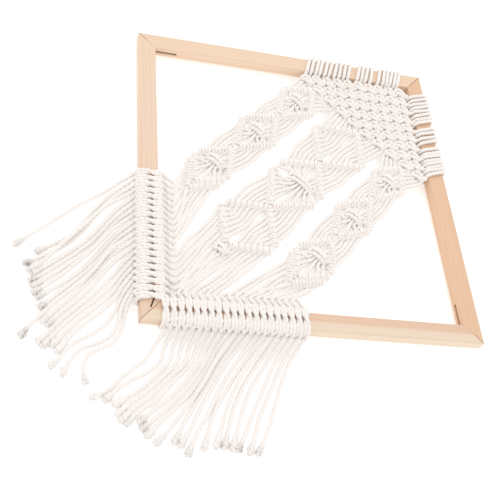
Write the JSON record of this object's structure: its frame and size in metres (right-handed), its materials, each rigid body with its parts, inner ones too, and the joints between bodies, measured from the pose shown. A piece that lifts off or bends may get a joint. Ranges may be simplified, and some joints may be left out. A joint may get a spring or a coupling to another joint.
{
  "type": "knotted wall hanging",
  "caption": "Square mitred wooden frame hung by one corner, with a knotted twisted-cotton-cord body stretched inside it and a loose cord fringe below.",
  "frame": {"origin": "under the middle of the square frame, on the plane that the backs of the cord wraps rest on", "axes": "+X to the right and +Y up as it hangs by its top corner, +Z out of its front face; at rest it lies flat with its front up"},
  "size_m": [0.4242, 0.5004, 0.0185],
  "materials": {
    "pine": "bare planed softwood, unvarnished",
    "cotton_cord": "soft twisted natural cotton cord"
  },
  "bodies": {
    "root": {"bar_upper_left": "pine", "bar_upper_right": "pine", "bar_lower_left": "pine", "bar_lower_right": "pine", "larks_heads_left": "cotton_cord", "larks_heads_right": "cotton_cord", "hitches_left": "cotton_cord", "hitches_right": "cotton_cord", "yoke": "cotton_cord", "panel_left": "cotton_cord", "panel_middle": "cotton_cord", "panel_right": "cotton_cord", "strands_left": "cotton_cord", "strands_middle": "cotton_cord", "strands_right": "cotton_cord", "fringe_left_01": "cotton_cord", "fringe_left_02": "cotton_cord", "fringe_left_03": "cotton_cord", "fringe_left_04": "cotton_cord", "fringe_left_05": "cotton_cord", "fringe_left_06": "cotton_cord", "fringe_left_07": "cotton_cord", "fringe_left_08": "cotton_cord", "fringe_left_09": "cotton_cord", "fringe_left_10": "cotton_cord", "fringe_left_11": "cotton_cord", "fringe_left_12": "cotton_cord", "fringe_left_13": "cotton_cord", "fringe_left_14": "cotton_cord", "fringe_left_15": "cotton_cord", "fringe_left_16": "cotton_cord", "fringe_left_17": "cotton_cord", "fringe_left_18": "cotton_cord", "fringe_left_19": "cotton_cord", "fringe_left_20": "cotton_cord", "fringe_right_01": "cotton_cord", "fringe_right_02": "cotton_cord", "fringe_right_03": "cotton_cord", "fringe_right_04": "cotton_cord", "fringe_right_05": "cotton_cord", "fringe_right_06": "cotton_cord", "fringe_right_07": "cotton_cord", "fringe_right_08": "cotton_cord", "fringe_right_09": "cotton_cord", "fringe_right_10": "cotton_cord", "fringe_right_11": "cotton_cord", "fringe_right_12": "cotton_cord", "fringe_right_13": "cotton_cord", "fringe_right_14": "cotton_cord", "fringe_right_15": "cotton_cord", "fringe_right_16": "cotton_cord", "fringe_right_17": "cotton_cord", "fringe_right_18": "cotton_cord", "fringe_right_19": "cotton_cord", "fringe_right_20": "cotton_cord"}
  },
  "joints": []
}
